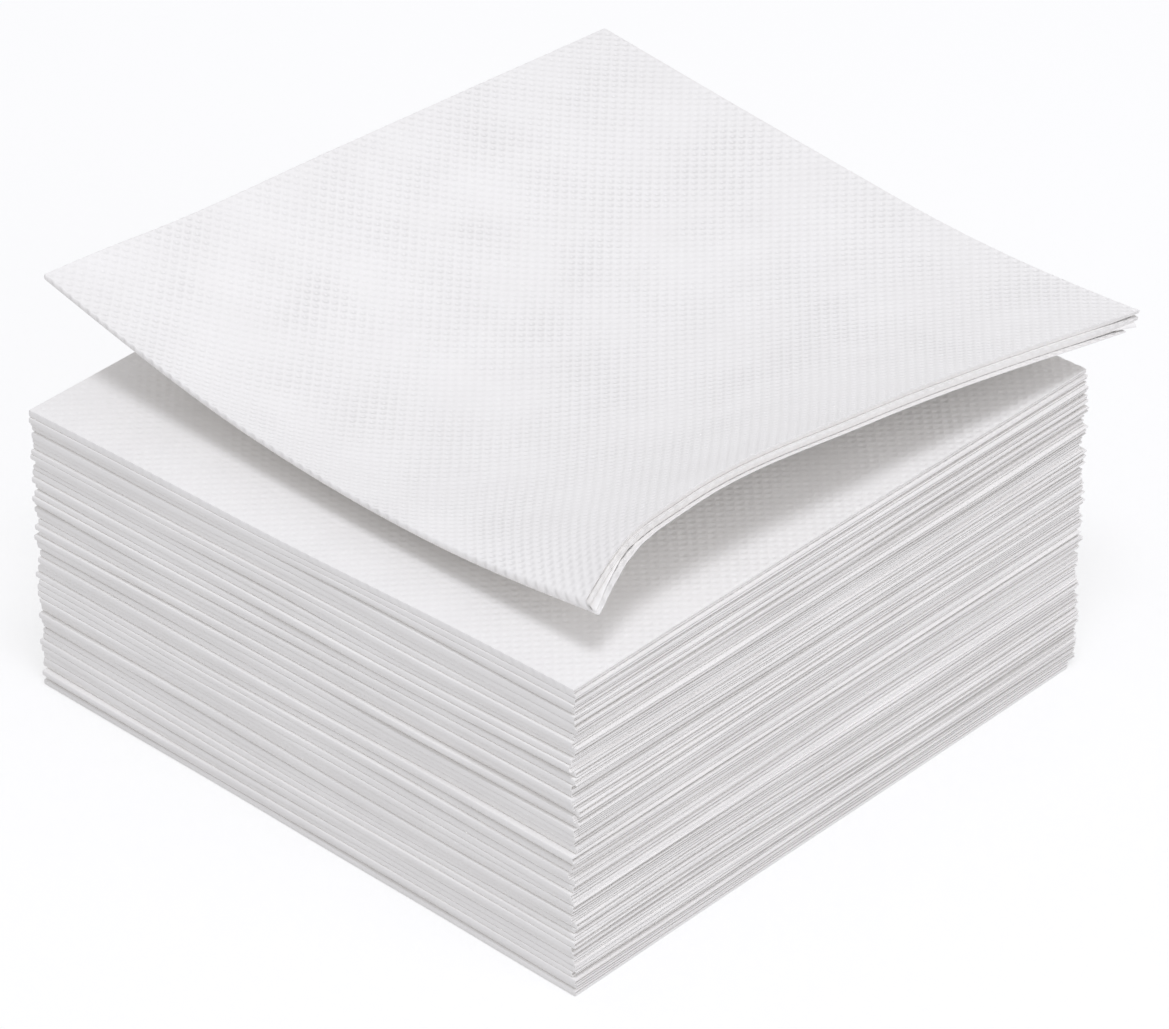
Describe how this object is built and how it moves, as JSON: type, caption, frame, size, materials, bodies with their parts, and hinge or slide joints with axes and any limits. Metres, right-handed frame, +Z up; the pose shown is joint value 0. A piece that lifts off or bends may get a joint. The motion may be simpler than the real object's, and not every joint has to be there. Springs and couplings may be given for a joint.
{
  "type": "stack of paper napkins",
  "caption": "Neat square stack of white quarter-folded paper napkins with dot emboss; the top one lies loose, turned and curled up at its edges",
  "frame": {"origin": "centre of the underside of the stack, where it stands", "axes": "+Z up; +X away from the edges with the smooth folds, along the cut edges; +Y along the smooth folds, towards the corner where both folds meet"},
  "size_m": [0.1377, 0.1301, 0.0768],
  "materials": {
    "tissue": "matt white two-ply tissue with a fine dot emboss",
    "top_tissue": "matt white two-ply tissue with a fine dot emboss"
  },
  "bodies": {
    "root": {"napkin_01": "tissue", "napkin_02": "tissue", "napkin_03": "tissue", "napkin_04": "tissue", "napkin_05": "tissue", "napkin_06": "tissue", "napkin_07": "tissue", "napkin_08": "tissue", "napkin_09": "tissue", "napkin_10": "tissue", "napkin_11": "tissue", "napkin_12": "tissue", "napkin_13": "tissue", "napkin_14": "tissue", "napkin_15": "tissue", "napkin_16": "tissue", "napkin_17": "tissue", "napkin_18": "tissue", "napkin_19": "tissue", "napkin_20": "tissue", "napkin_21": "tissue", "napkin_22": "tissue", "napkin_23": "tissue", "napkin_24": "tissue", "napkin_25": "tissue", "napkin_26": "tissue", "napkin_27": "tissue", "napkin_28": "tissue", "napkin_29": "tissue", "napkin_30": "tissue", "napkin_31": "tissue", "napkin_32": "tissue", "napkin_33": "tissue", "napkin_34": "tissue", "napkin_35": "tissue", "napkin_36": "tissue", "napkin_37": "tissue", "napkin_38": "tissue", "napkin_39": "tissue", "napkin_40": "tissue", "napkin_41": "tissue", "napkin_42": "tissue", "napkin_43": "tissue", "napkin_44": "tissue", "napkin_45": "tissue", "napkin_46": "tissue", "napkin_47": "tissue", "napkin_48": "tissue", "napkin_49": "tissue", "top_napkin": "top_tissue"}
  },
  "joints": []
}
